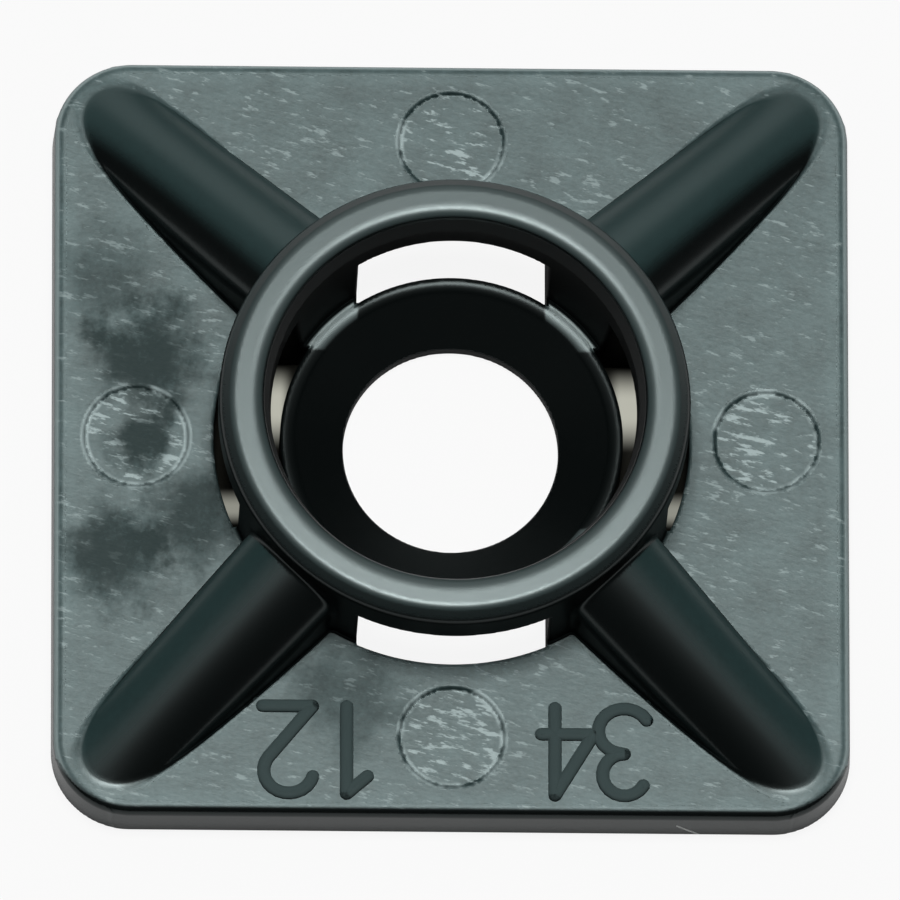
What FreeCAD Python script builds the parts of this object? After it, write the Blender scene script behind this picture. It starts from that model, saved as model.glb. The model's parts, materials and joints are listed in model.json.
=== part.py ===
import FreeCAD, Part
import math
import os
import Sketcher

# Cable tie mount, moulded in one piece. Millimetres, +Z up, origin at the centre of the underside.
# A square base carries a raised ring on four sloping legs. Ties pass through four openings in the
# base and under the ring, and a countersunk screw in the middle holds the mount down.

# Driving sizes: name, value, what it measures.
SIZE_ROWS = [
    ("base_side", 20.0, "side of the square base at the underside"),
    ("base_thickness", 1.3, "thickness of the base"),
    ("corner_radius", 2.0, "radius of the four corners seen from above"),
    ("wall_draft_angle", 2.0, "lean of the outer walls in degrees"),
    ("base_edge_bevel", 0.14, "bevel along the upper edge of the base"),
    ("screw_hole_radius", 2.7, "clearance hole for an M5 screw"),
    ("screw_land", 0.4, "height of the straight hole below the countersink"),
    ("countersink_radius", 4.05, "countersink at the floor of the ring"),
    ("rim_width", 0.25, "rim left between the countersink and a tie opening"),
    ("opening_width", 4.76, "tie opening, measured across the tie"),
    ("opening_height", 1.85, "clear height under the ring, above the base"),
    ("opening_overrun_in", 0.1, "tie opening past the bore of the ring"),
    ("opening_overrun_out", 0.06, "tie opening past the outer wall of the ring"),
    ("ring_wall", 1.5, "wall of the ring at its root"),
    ("ring_bore_draft", 0.22, "widening of the bore from its root to the funnel"),
    ("ring_bridge", 1.35, "height of the ring above a tie opening"),
    ("ring_edge_radius", 0.4, "rounding of the outer upper edge of the ring"),
    ("ring_crest", 0.45, "flat crest between the rounding and the bevel"),
    ("ring_lip_width", 0.26, "width of the bevel at the inner upper edge of the ring"),
    ("ring_lip_depth", 0.21, "depth of that bevel"),
    ("ring_funnel_depth", 0.67, "depth of the funnel at the mouth of the ring"),
    ("ring_embed", 0.5, "depth to which the ring is rooted in the base"),
    ("leg_root_drop", 0.9, "crest of a leg below the crest of the ring"),
    ("leg_root_width", 2.9, "width of a leg where it enters the ring"),
    ("leg_nose_width", 2.66, "width of a leg where its nose begins"),
    ("leg_nose_length", 3.3, "length of the nose that sinks into the base"),
    ("leg_dome_height", 1.0, "height of the domed upper part of a leg"),
    ("leg_tip_dome_height", 0.2, "height of the dome at the tip of a leg"),
    ("leg_tip_setback", 0.44, "tip of a leg to the corner of the base"),
    ("leg_tip_overrun", 0.1, "length of leg that runs on inside the base"),
    ("leg_tip_cover", 0.12, "base left on each side of the hidden end of a leg"),
    ("leg_foot_height", 0.3, "foot of a leg above the underside"),
    ("pin_mark_distance", 7.9, "axis to the centre of an ejector pin mark"),
    ("pin_mark_radius", 1.3, "radius of an ejector pin mark"),
    ("pin_mark_depth", 0.07, "depth of an ejector pin mark"),
]

# How far a cutting profile runs past the surfaces that it opens.
CUT_OVERRUN = 1.0
# The shoulders of a leg's dome stay below this share of its height, so that a crown is left.
SHOULDER_LIMIT = 0.85
# A face counts as upright below this height of its normal, and an edge as level within this.
LEANING_NORMAL = 0.5
LEVEL_TOLERANCE = 0.01
LEG_COUNT = 4
OPENING_COUNT = 4
PIN_MARK_COUNT = 4
NODE_NAME = "tie_mount"


class Size:
    """A length or an angle: its number now, and the formula on the sheet that it follows."""

    def __init__(self, value, formula):
        self.value = value
        self.formula = formula

    def __add__(self, other):
        return combine(self, "+", other, self.value + number(other))

    def __sub__(self, other):
        return combine(self, "-", other, self.value - number(other))

    def __mul__(self, other):
        return combine(self, "*", other, self.value * number(other))

    def __truediv__(self, other):
        return combine(self, "/", other, self.value / number(other))


def number(thing):
    """The plain number of a size, or the number itself."""
    return thing.value if isinstance(thing, Size) else thing


def combine(left, sign, right, value):
    """A size that is worked out from two others."""
    right_formula = right.formula if isinstance(right, Size) else repr(right)
    return Size(value, f"({left.formula} {sign} {right_formula})")


def smaller(left, right):
    """The smaller of two sizes."""
    return Size(min(left.value, right.value), f"min({left.formula}; {right.formula})")


def root_of(square):
    """The square root of a size."""
    return Size(math.sqrt(square.value), f"sqrt({square.formula})")


doc = FreeCAD.newDocument("CableTieMount")


def fill_sheet():
    """Writes the driving sizes to the sheet and returns them by name."""
    sheet = doc.addObject("Spreadsheet::Sheet", "Sizes")
    named = {}
    for row, (name, value, meaning) in enumerate(SIZE_ROWS, start=1):
        sheet.set(f"A{row}", name.replace("_", " "))
        sheet.set(f"B{row}", str(value))
        sheet.setAlias(f"B{row}", name)
        sheet.set(f"C{row}", meaning)
        named[name] = Size(value, f"Sizes.{name}")
    doc.recompute()
    return named


size = fill_sheet()

# Sizes and levels that more than one feature uses, from the screw hole outwards and upwards.
opening_inner_radius = size["countersink_radius"] + size["rim_width"]
ring_bore_radius = opening_inner_radius + size["opening_overrun_in"]
ring_outer_radius = ring_bore_radius + size["ring_wall"]
opening_outer_radius = ring_outer_radius + size["opening_overrun_out"]
opening_top = size["base_thickness"] + size["opening_height"]
ring_top = opening_top + size["ring_bridge"]
corner_reach = (size["base_side"] / 2 - size["corner_radius"]) * math.sqrt(2) + size["corner_radius"]
leg_tip_distance = corner_reach - size["leg_tip_setback"]


def new_body(name):
    """An empty body that carries the name of its sub-part."""
    body = doc.addObject("PartDesign::Body", name)
    body.Label = name
    return body


def origin_feature(body, role):
    """One of the planes or axes at the origin of a body."""
    for feature in body.Origin.OriginFeatures:
        if feature.Role == role:
            return feature
    raise ValueError(f"no origin feature {role}")


def new_sketch(body, name, role):
    """A sketch on one of the origin planes of its own body."""
    sketch = body.newObject("Sketcher::SketchObject", name)
    sketch.AttachmentSupport = [(origin_feature(body, role), "")]
    sketch.MapMode = "FlatFace"
    return sketch


def add_line(sketch, start, end):
    """A straight edge between two points of the sketch."""
    start_point = FreeCAD.Vector(start[0], start[1], 0)
    end_point = FreeCAD.Vector(end[0], end[1], 0)
    return sketch.addGeometry(Part.LineSegment(start_point, end_point), False)


def add_arc(sketch, centre, radius, start_angle, end_angle):
    """A round edge, anticlockwise between two angles in degrees."""
    circle = Part.Circle(FreeCAD.Vector(centre[0], centre[1], 0), FreeCAD.Vector(0, 0, 1), radius)
    arc = Part.ArcOfCircle(circle, math.radians(start_angle), math.radians(end_angle))
    return sketch.addGeometry(arc, False)


def fix(sketch, kind, *references):
    """A constraint without a size, such as Horizontal or Tangent."""
    return sketch.addConstraint(Sketcher.Constraint(kind, *references))


def measure(sketch, kind, references, amount):
    """A constraint with a size, bound to the formula of that size."""
    index = sketch.addConstraint(Sketcher.Constraint(kind, *references, number(amount)))
    if isinstance(amount, Size):
        sketch.setExpression(f"Constraints[{index}]", amount.formula)


# Places on a piece of geometry, and the origin point of a sketch.
START = 1
END = 2
CENTRE = 3
ORIGIN = (-1, 1)


def close_outline(sketch, edges):
    """Joins edges end to end, each given as its number, the place it starts and the place it ends."""
    for (edge, _, leaving), (following, entering, _) in zip(edges, edges[1:] + edges[:1]):
        fix(sketch, "Coincident", edge, leaving, following, entering)


def add_polygon(sketch, corners):
    """A closed outline of straight edges through the corners, in their order."""
    sides = [add_line(sketch, start, end) for start, end in zip(corners, corners[1:] + corners[:1])]
    close_outline(sketch, [(side, START, END) for side in sides])
    return sides


def around(body, feature, count, name):
    """Repeats a feature about the axis of the mount."""
    pattern = body.newObject("PartDesign::PolarPattern", name)
    pattern.Originals = [feature]
    pattern.Axis = (origin_feature(body, "Z_Axis"), [""])
    pattern.Angle = 360
    pattern.Occurrences = count
    body.Tip = pattern
    doc.recompute()


def must_change(before, after, sign, name):
    """Stops when a feature left the solid as it was, or changed it the wrong way."""
    if (after.Shape.Volume - before.Shape.Volume) * sign <= 0:
        raise RuntimeError(f"{name} did not change the solid as it should")


def make_base(body):
    """The square base with drafted walls, rounded corners and a bevelled upper edge."""
    outline = new_sketch(body, "base_outline", "XY_Plane")
    half = number(size["base_side"]) / 2
    corners = [(-half, -half), (half, -half), (half, half), (-half, half)]
    front, right, back, left = add_polygon(outline, corners)
    fix(outline, "Horizontal", front)
    fix(outline, "Vertical", right)
    fix(outline, "Horizontal", back)
    fix(outline, "Vertical", left)
    fix(outline, "Symmetric", front, START, back, START, *ORIGIN)
    measure(outline, "DistanceX", (front, START, front, END), size["base_side"])
    measure(outline, "DistanceY", (right, START, right, END), size["base_side"])

    slab = body.newObject("PartDesign::Pad", "base_slab")
    slab.Profile = outline
    slab.setExpression("Length", size["base_thickness"].formula)
    doc.recompute()

    leaning = body.newObject("PartDesign::Draft", "base_walls")
    leaning.Base = (slab, walls_of(slab))
    leaning.NeutralPlane = (origin_feature(body, "XY_Plane"), [""])
    leaning.setExpression("Angle", size["wall_draft_angle"].formula)
    doc.recompute()
    must_change(slab, leaning, -1, "draft of the walls")

    corners_rounded = body.newObject("PartDesign::Fillet", "base_corners")
    corners_rounded.Base = (leaning, edges_where(leaning, is_corner_edge))
    corners_rounded.setExpression("Radius", size["corner_radius"].formula)
    doc.recompute()

    edge_bevelled = body.newObject("PartDesign::Chamfer", "base_upper_edge")
    edge_bevelled.Base = (corners_rounded, edges_where(corners_rounded, is_upper_edge))
    edge_bevelled.setExpression("Size", size["base_edge_bevel"].formula)
    doc.recompute()
    must_change(corners_rounded, edge_bevelled, -1, "bevel of the upper edge")


def edges_where(feature, test):
    """Names of the edges of a feature that pass a test."""
    return [f"Edge{i}" for i, edge in enumerate(feature.Shape.Edges, start=1) if test(edge)]


def walls_of(feature):
    """Names of the upright faces of a feature."""
    faces = enumerate(feature.Shape.Faces, start=1)
    return [f"Face{i}" for i, face in faces if abs(face.normalAt(0, 0).z) < LEANING_NORMAL]


def is_corner_edge(edge):
    """True on an edge that runs from the underside to the upper face."""
    return edge.BoundBox.ZLength > number(size["base_thickness"]) / 2


def is_upper_edge(edge):
    """True on an edge that lies in the upper face."""
    return edge.BoundBox.ZMin > number(size["base_thickness"]) - LEVEL_TOLERANCE


def make_ring(body):
    """The ring, turned from its section: drafted bore, funnel, bevelled lip, crest, outer wall."""
    section = new_sketch(body, "ring_section", "XZ_Plane")
    root_level = size["base_thickness"] - size["ring_embed"]
    edge_radius = size["ring_edge_radius"]
    funnel_radius = ring_bore_radius + size["ring_bore_draft"]
    funnel_level = ring_top - size["ring_funnel_depth"]
    outer = number(ring_outer_radius)
    top = number(ring_top)
    crest_outer = outer - number(edge_radius)
    crest_inner = crest_outer - number(size["ring_crest"])
    funnel_foot = (number(funnel_radius), number(funnel_level))
    lip_foot = (crest_inner - number(size["ring_lip_width"]), top - number(size["ring_lip_depth"]))
    root = number(root_level)
    bore_foot = (number(ring_bore_radius), root)

    outer_wall = add_line(section, (outer, root), (outer, top - number(edge_radius)))
    outer_round = add_arc(section, (crest_outer, top - number(edge_radius)), number(edge_radius), 0, 90)
    crest = add_line(section, (crest_outer, top), (crest_inner, top))
    lip = add_line(section, (crest_inner, top), lip_foot)
    funnel = add_line(section, lip_foot, funnel_foot)
    bore = add_line(section, funnel_foot, bore_foot)
    foot = add_line(section, bore_foot, (outer, root))

    fix(section, "Tangent", outer_wall, END, outer_round, START)
    fix(section, "Tangent", outer_round, END, crest, START)
    fix(section, "Coincident", crest, END, lip, START)
    fix(section, "Coincident", lip, END, funnel, START)
    fix(section, "Coincident", funnel, END, bore, START)
    fix(section, "Coincident", bore, END, foot, START)
    fix(section, "Coincident", foot, END, outer_wall, START)
    fix(section, "Vertical", outer_wall)
    fix(section, "Horizontal", crest)
    fix(section, "Horizontal", foot)
    measure(section, "DistanceX", (*ORIGIN, outer_wall, START), ring_outer_radius)
    measure(section, "DistanceY", (*ORIGIN, outer_wall, START), root_level)
    measure(section, "DistanceX", (*ORIGIN, bore, END), ring_bore_radius)
    measure(section, "DistanceX", (*ORIGIN, bore, START), funnel_radius)
    measure(section, "DistanceY", (*ORIGIN, bore, START), funnel_level)
    measure(section, "DistanceY", (*ORIGIN, crest, START), ring_top)
    measure(section, "DistanceX", (crest, END, crest, START), size["ring_crest"])
    measure(section, "DistanceX", (lip, END, lip, START), size["ring_lip_width"])
    measure(section, "DistanceY", (lip, END, lip, START), size["ring_lip_depth"])
    measure(section, "Radius", (outer_round,), edge_radius)

    ring = body.newObject("PartDesign::Revolution", "ring")
    ring.Profile = section
    ring.ReferenceAxis = (section, ["V_Axis"])
    ring.Angle = 360
    doc.recompute()


def leg_section(body, name, distance, half_width, dome_height, crest_level):
    """A cross-section of a leg, square to its diagonal: upright sides under a dome of three arcs."""
    section = new_sketch(body, name, "XZ_Plane")
    across = number(half_width)
    crest_height = number(crest_level)
    dome = number(dome_height)
    spring = crest_height - dome
    foot = number(size["leg_foot_height"])
    shoulder_size = smaller(dome_height * dome_height / half_width, dome_height * SHOULDER_LIMIT)
    shoulder = number(shoulder_size)
    inset = across - shoulder
    crown_radius = (inset**2 + dome**2 - shoulder**2) / (2 * (dome - shoulder))
    crown_centre = (0, crest_height - crown_radius)
    turn = math.degrees(math.atan2(spring - crown_centre[1], inset))

    base = add_line(section, (-across, foot), (across, foot))
    right = add_line(section, (across, foot), (across, spring))
    right_round = add_arc(section, (inset, spring), shoulder, 0, turn)
    crown = add_arc(section, crown_centre, crown_radius, turn, 180 - turn)
    left_round = add_arc(section, (-inset, spring), shoulder, 180 - turn, 180)
    left = add_line(section, (-across, spring), (-across, foot))

    fix(section, "Coincident", base, END, right, START)
    fix(section, "Tangent", right, END, right_round, START)
    fix(section, "Tangent", right_round, END, crown, START)
    fix(section, "Tangent", crown, END, left_round, START)
    fix(section, "Tangent", left_round, END, left, START)
    fix(section, "Coincident", left, END, base, START)
    fix(section, "Horizontal", base)
    fix(section, "Vertical", right)
    fix(section, "Vertical", left)
    fix(section, "PointOnObject", crown, CENTRE, -2)
    fix(section, "Equal", right_round, left_round)
    measure(section, "DistanceX", (*ORIGIN, right, START), half_width)
    measure(section, "DistanceY", (*ORIGIN, base, START), size["leg_foot_height"])
    measure(section, "DistanceY", (*ORIGIN, right, END), crest_level - dome_height)
    measure(section, "Radius", (right_round,), shoulder_size)
    place_on_diagonal(section, distance)
    return section


def place_on_diagonal(section, distance):
    """Turns a section square to the diagonal and moves it out from the axis."""
    shift = distance / math.sqrt(2)
    turned = FreeCAD.Rotation(FreeCAD.Vector(0, 1, 0), 45)
    section.AttachmentOffset = FreeCAD.Placement(
        FreeCAD.Vector(number(shift), 0, number(shift)), turned
    )
    section.setExpression("AttachmentOffset.Base.x", shift.formula)
    section.setExpression("AttachmentOffset.Base.z", shift.formula)


def make_legs(body):
    """Four legs that slope from the ring to the corners of the base."""
    root_distance = (ring_bore_radius + ring_outer_radius) / 2
    nose_distance = leg_tip_distance - size["leg_nose_length"]
    tip_distance = leg_tip_distance + size["leg_tip_overrun"]
    rise_at_ring = ring_top - size["leg_root_drop"] - size["base_thickness"]
    slope = rise_at_ring / (leg_tip_distance - ring_outer_radius)
    root_crest = size["base_thickness"] + slope * (leg_tip_distance - root_distance)
    nose_crest = size["base_thickness"] + slope * size["leg_nose_length"]
    tip_crest = size["base_thickness"] - slope * size["leg_tip_overrun"]
    end_setback = size["leg_tip_setback"] - size["leg_tip_overrun"]
    corner_chord = root_of(size["corner_radius"] * end_setback * 2 - end_setback * end_setback)
    root_half_width = size["leg_root_width"] / 2
    nose_half_width = size["leg_nose_width"] / 2
    tip_half_width = corner_chord - size["leg_tip_cover"]
    dome = size["leg_dome_height"]
    tip_dome = size["leg_tip_dome_height"]

    sections = [
        leg_section(body, "leg_root_section", root_distance, root_half_width, dome, root_crest),
        leg_section(body, "leg_nose_section", nose_distance, nose_half_width, dome, nose_crest),
        leg_section(body, "leg_tip_section", tip_distance, tip_half_width, tip_dome, tip_crest),
    ]
    doc.recompute()

    leg = body.newObject("PartDesign::AdditiveLoft", "leg")
    leg.Profile = sections[0]
    leg.Sections = sections[1:]
    doc.recompute()
    around(body, leg, LEG_COUNT, "legs")


def make_tie_openings(body):
    """Four passages for a tie, up through the base and under the ring."""
    outline = new_sketch(body, "tie_opening_outline", "XY_Plane")
    half_width = number(size["opening_width"]) / 2
    inner = number(opening_inner_radius)
    outer = number(opening_outer_radius)
    inner_reach = math.sqrt(inner**2 - half_width**2)
    outer_reach = math.sqrt(outer**2 - half_width**2)
    inner_angle = math.degrees(math.atan2(inner_reach, half_width))
    outer_angle = math.degrees(math.atan2(outer_reach, half_width))

    inner_arc = add_arc(outline, (0, 0), inner, inner_angle, 180 - inner_angle)
    right = add_line(outline, (half_width, inner_reach), (half_width, outer_reach))
    outer_arc = add_arc(outline, (0, 0), outer, outer_angle, 180 - outer_angle)
    left = add_line(outline, (-half_width, outer_reach), (-half_width, inner_reach))
    edges = [(inner_arc, END, START), (right, START, END), (outer_arc, START, END), (left, START, END)]
    close_outline(outline, edges)
    fix(outline, "Coincident", inner_arc, CENTRE, *ORIGIN)
    fix(outline, "Coincident", outer_arc, CENTRE, *ORIGIN)
    fix(outline, "Vertical", right)
    fix(outline, "Vertical", left)
    measure(outline, "DistanceX", (*ORIGIN, right, START), size["opening_width"] / 2)
    measure(outline, "DistanceX", (left, START, right, START), size["opening_width"])
    measure(outline, "Radius", (inner_arc,), opening_inner_radius)
    measure(outline, "Radius", (outer_arc,), opening_outer_radius)

    before = body.Tip
    opening = body.newObject("PartDesign::Pocket", "tie_opening")
    opening.Profile = outline
    opening.Reversed = True
    opening.setExpression("Length", opening_top.formula)
    doc.recompute()
    must_change(before, opening, -1, "tie opening")
    around(body, opening, OPENING_COUNT, "tie_openings")


def make_screw_hole(body):
    """The countersunk hole in the middle, turned from its section."""
    section = new_sketch(body, "screw_hole_section", "XZ_Plane")
    hole = number(size["screw_hole_radius"])
    land = number(size["screw_land"])
    head = number(size["countersink_radius"])
    floor = number(size["base_thickness"])
    over = floor + CUT_OVERRUN
    below = -CUT_OVERRUN
    corners = [(0, below), (hole, below), (hole, land), (head, floor), (head, over), (0, over)]
    bottom, bore, cone, mouth, lid, _ = add_polygon(section, corners)
    fix(section, "Horizontal", bottom)
    fix(section, "Vertical", bore)
    fix(section, "Vertical", mouth)
    fix(section, "Horizontal", lid)
    fix(section, "PointOnObject", bottom, START, -2)
    fix(section, "PointOnObject", lid, END, -2)
    measure(section, "DistanceY", (bottom, START, *ORIGIN), CUT_OVERRUN)
    measure(section, "DistanceX", (*ORIGIN, bore, START), size["screw_hole_radius"])
    measure(section, "DistanceY", (*ORIGIN, bore, END), size["screw_land"])
    measure(section, "DistanceX", (*ORIGIN, cone, END), size["countersink_radius"])
    measure(section, "DistanceY", (*ORIGIN, cone, END), size["base_thickness"])
    measure(section, "DistanceY", (mouth, START, mouth, END), CUT_OVERRUN)

    before = body.Tip
    hole_cut = body.newObject("PartDesign::Groove", "screw_hole")
    hole_cut.Profile = section
    hole_cut.ReferenceAxis = (section, ["V_Axis"])
    hole_cut.Angle = 360
    doc.recompute()
    must_change(before, hole_cut, -1, "screw hole")


def make_pin_marks(body):
    """Four shallow round marks where the ejector pins pushed."""
    outline = new_sketch(body, "pin_mark_outline", "XY_Plane")
    outline.AttachmentOffset = FreeCAD.Placement(
        FreeCAD.Vector(0, 0, number(size["base_thickness"])), FreeCAD.Rotation()
    )
    outline.setExpression("AttachmentOffset.Base.z", size["base_thickness"].formula)
    centre = FreeCAD.Vector(0, number(size["pin_mark_distance"]), 0)
    circle = Part.Circle(centre, FreeCAD.Vector(0, 0, 1), number(size["pin_mark_radius"]))
    edge = outline.addGeometry(circle, False)
    fix(outline, "PointOnObject", edge, CENTRE, -2)
    measure(outline, "DistanceY", (*ORIGIN, edge, CENTRE), size["pin_mark_distance"])
    measure(outline, "Radius", (edge,), size["pin_mark_radius"])

    before = body.Tip
    mark = body.newObject("PartDesign::Pocket", "pin_mark")
    mark.Profile = outline
    mark.setExpression("Length", size["pin_mark_depth"].formula)
    doc.recompute()
    must_change(before, mark, -1, "ejector pin mark")
    around(body, mark, PIN_MARK_COUNT, "pin_marks")


def check_features():
    """Stops when any object of the document failed."""
    for item in doc.Objects:
        if "Invalid" in item.State or "Error" in item.State:
            raise RuntimeError(f"{item.Name} failed: {item.State}")


def write_step(body):
    """Checks the finished solid and writes it under the name of its node."""
    shape = body.Shape
    if shape.isNull() or not shape.isValid() or len(shape.Solids) != 1:
        raise RuntimeError(f"{body.Label} is not one valid solid")
    os.makedirs("parts", exist_ok=True)
    shape.exportStep(f"parts/{body.Label}.step")
    box = shape.BoundBox
    print(
        f"{body.Label}: {shape.Volume:.3f} mm3, X {box.XLength:.3f}, Y {box.YLength:.3f},"
        f" Z {box.ZMin:.3f} to {box.ZMax:.3f} mm"
    )


mount = new_body(NODE_NAME)
make_base(mount)
make_ring(mount)
make_legs(mount)
make_tie_openings(mount)
make_screw_hole(mount)
make_pin_marks(mount)
doc.recompute()
check_features()
write_step(mount)
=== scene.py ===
import json
import math
from types import SimpleNamespace

import bpy
import numpy as np
from mathutils import Matrix, Vector


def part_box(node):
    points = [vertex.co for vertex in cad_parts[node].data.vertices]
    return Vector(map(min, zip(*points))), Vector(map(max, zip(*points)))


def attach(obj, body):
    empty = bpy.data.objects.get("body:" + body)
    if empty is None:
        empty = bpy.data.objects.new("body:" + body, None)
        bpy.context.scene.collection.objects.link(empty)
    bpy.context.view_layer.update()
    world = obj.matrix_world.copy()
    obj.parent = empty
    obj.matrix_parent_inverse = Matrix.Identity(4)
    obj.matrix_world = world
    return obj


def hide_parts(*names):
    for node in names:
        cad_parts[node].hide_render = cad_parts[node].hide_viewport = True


# A moulded nylon cable tie mount. Blender works in metres, the sizes below are in millimetres.
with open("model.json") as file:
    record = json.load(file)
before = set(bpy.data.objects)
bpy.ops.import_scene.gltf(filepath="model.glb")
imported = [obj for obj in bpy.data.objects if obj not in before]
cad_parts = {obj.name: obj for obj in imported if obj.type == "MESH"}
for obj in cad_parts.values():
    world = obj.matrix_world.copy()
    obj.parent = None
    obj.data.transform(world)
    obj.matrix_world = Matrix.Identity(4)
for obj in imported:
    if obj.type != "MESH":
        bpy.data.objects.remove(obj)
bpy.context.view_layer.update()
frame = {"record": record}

MM = 0.001
NODE = "tie_mount"
BODY = "root"
DIAGONAL = math.sqrt(0.5)

mount_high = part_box(NODE)[1] / MM
mounts = {mount["name"]: mount for mount in frame["record"]["mounts"]}

# Sizes of the moulding. The base, the height and the screw hole come from the frame.
MOULDING = {
    "base_half": mount_high.x,
    "base_thickness": 1.3,
    "corner_radius": 2.0,
    "wall_draft": math.tan(math.radians(2.0)),
    "base_edge_bevel": 0.14,
    "sharp_edge_radius": 0.08,
    "hole_radius": mounts["screw_hole"]["dims"]["r_mm"],
    "hole_land": 0.4,
    "countersink_radius": 4.05,
    "opening_half_width": 2.38,
    "opening_inner_radius": 4.3,
    "opening_outer_radius": 5.96,
    "opening_top": 3.15,
    "ring_outer_radius": 5.9,
    "ring_top": mount_high.z,
    "ring_edge_bevel": 0.35,
    "crest_fall": math.tan(math.radians(2.0)),
    "roll_centre_radius": 5.15,
    "roll_radius": 0.8,
    "lip_centre_radius": 5.05,
    "lip_radius": 0.3,
    "funnel_foot_radius": 4.62,
    "funnel_foot_level": 3.83,
    "ring_bore_radius": 4.4,
    "ring_root_level": 0.8,
    "leg_root": 5.15,
    "leg_root_half_width": 1.45,
    "leg_nose_half_width": 1.33,
    "leg_dome": 1.0,
    "leg_end_dome": 0.2,
    "shoulder_limit": 0.85,
    "leg_foot": 0.3,
    "leg_fillet": 0.09,
    "ring_fillet": 0.12,
    "mark_distance": 7.9,
    "mark_radius": 1.3,
    "mark_depth": 0.07,
}


def touching_point(foot, centre, radius):
    """Where a line that rises from foot touches a circle, on the side of the bore."""
    run = centre[0] - foot[0]
    rise = centre[1] - foot[1]
    distance = math.hypot(run, rise)
    angle = math.atan2(rise, run) + math.asin(radius / distance)
    reach = math.sqrt(distance**2 - radius**2)
    return foot[0] + reach * math.cos(angle), foot[1] + reach * math.sin(angle)


MOULDING["lip_foot_radius"], MOULDING["lip_foot_level"] = touching_point(
    (MOULDING["funnel_foot_radius"], MOULDING["funnel_foot_level"]),
    (MOULDING["lip_centre_radius"], MOULDING["ring_top"] - MOULDING["lip_radius"]),
    MOULDING["lip_radius"],
)
# A leg's crest falls from the ring to its tip, and a hidden end runs on inside the base. The
# setback is counted from the corner, the drop from the ring's top.
LEG_TIP_SETBACK = 0.44
LEG_TIP_OVERRUN = 0.1
LEG_TIP_COVER = 0.12
LEG_NOSE_LENGTH = 3.3
LEG_ROOT_DROP = 0.9


def place_leg(size):
    """Works out where a leg's sections lie along the diagonal, its slope and its hidden end."""
    corner_middle = (size["base_half"] - size["corner_radius"]) * math.sqrt(2.0)
    tip = corner_middle + size["corner_radius"] - LEG_TIP_SETBACK
    end_setback = LEG_TIP_SETBACK - LEG_TIP_OVERRUN
    chord = math.sqrt(2.0 * size["corner_radius"] * end_setback - end_setback**2)
    fall = size["ring_top"] - LEG_ROOT_DROP - size["base_thickness"]
    return {
        "leg_tip": tip,
        "leg_nose": tip - LEG_NOSE_LENGTH,
        "leg_end": tip + LEG_TIP_OVERRUN,
        "leg_end_half_width": chord - LEG_TIP_COVER,
        "leg_slope": fall / (tip - size["ring_outer_radius"]),
    }


MOULDING |= place_leg(MOULDING)

# Spacing of the samples that the moulding's surface is drawn through, and room left around it.
SAMPLE_SPACING = 0.07
SAMPLE_MARGIN = 0.3
# How far the cut of the countersink runs on over the base.
CONE_OVERRUN = 0.004
# Distance at which the slope of the field is read, and how often the points of the surface are
# evened out and pulled back to the field.
PROBE = 0.004
EVENING_ROUNDS = 2
PULLS_PER_ROUND = 2
FIELD_NORMAL = "field_normal"
# Triangles kept in all, the cosine by which neighbouring normals agree away from edges, and how
# many rings of faces beside an edge are never thinned out.
TRIANGLES_KEPT = 188000
GENTLE_AGREEMENT = 0.993
KEPT_RINGS = 2


class Wire:
    """A socket of a node tree. A sum written with wires adds its Math nodes to the tree."""

    def __init__(self, tree, socket=None):
        self.tree = tree
        self.socket = socket

    def node(self, kind, settings=None, sockets=None, output=0):
        """A wire from a new node: its settings first, then the values or links of its sockets."""
        made = self.tree.nodes.new(kind)
        for name, value in (settings or {}).items():
            setattr(made, name, value)
        for key, value in (sockets or {}).items():
            if isinstance(value, Wire):
                self.tree.links.new(value.socket, made.inputs[key])
            else:
                made.inputs[key].default_value = value
        return Wire(self.tree, made.outputs[output])

    def other(self, output):
        """A wire from another output of the same node."""
        return Wire(self.tree, self.socket.node.outputs[output])

    def math(self, operation, left, right=0.0):
        return self.node("ShaderNodeMath", {"operation": operation}, {0: left, 1: right})

    def __add__(self, other):
        return self.math("ADD", self, other)

    __radd__ = __add__

    def __sub__(self, other):
        return self.math("SUBTRACT", self, other)

    def __rsub__(self, other):
        return self.math("SUBTRACT", other, self)

    def __mul__(self, other):
        return self.math("MULTIPLY", self, other)

    __rmul__ = __mul__

    def __truediv__(self, other):
        return self.math("DIVIDE", self, other)

    def __neg__(self):
        return self.math("SUBTRACT", 0.0, self)

    def __abs__(self):
        return self.math("ABSOLUTE", self)

    def root(self):
        return self.math("SQRT", self)

    def least(self, other):
        return self.math("MINIMUM", self, other)

    def most(self, other):
        return self.math("MAXIMUM", self, other)

    def above(self, other):
        return self.math("GREATER_THAN", self, other)


def length(first, second):
    """Length of a step with these two parts at a right angle."""
    return (first * first + second * second).root()


def rounded_overlap(first, second, radius):
    """Field of what lies inside both fields, with its edge rounded."""
    corner = length((first + radius).most(0.0), (second + radius).most(0.0))
    return corner + first.most(second).least(-radius)


def rounded_join(first, second, radius):
    """Field of what lies inside either field, with a fillet in its crease."""
    crease = length((radius - first).most(0.0), (radius - second).most(0.0))
    return first.least(second).most(radius) - crease


def edge_field(radius, level, upper, lower):
    """Distance past a line of a turned section that rises outwards from lower to upper."""
    run = upper[0] - lower[0]
    rise = upper[1] - lower[1]
    return ((level - lower[1]) * run - (radius - lower[0]) * rise) / length(run, rise)


def through_sections(along, places, values):
    """A value that changes smoothly along a leg through its value at each section."""
    total = 0.0
    for index, (place, value) in enumerate(zip(places, values)):
        share = value
        for other_index, other in enumerate(places):
            if other_index != index:
                share = share * (along - other) / (place - other)
        total = share + total
    return total


def outline_field(east, north, size):
    """Distance past the outline of the base, a square with rounded corners."""
    reach = size["base_half"] - size["corner_radius"]
    past_east = east - reach
    past_north = north - reach
    corner = length(past_east.most(0.0), past_north.most(0.0))
    return corner + past_east.most(past_north).least(0.0) - size["corner_radius"]


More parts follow.
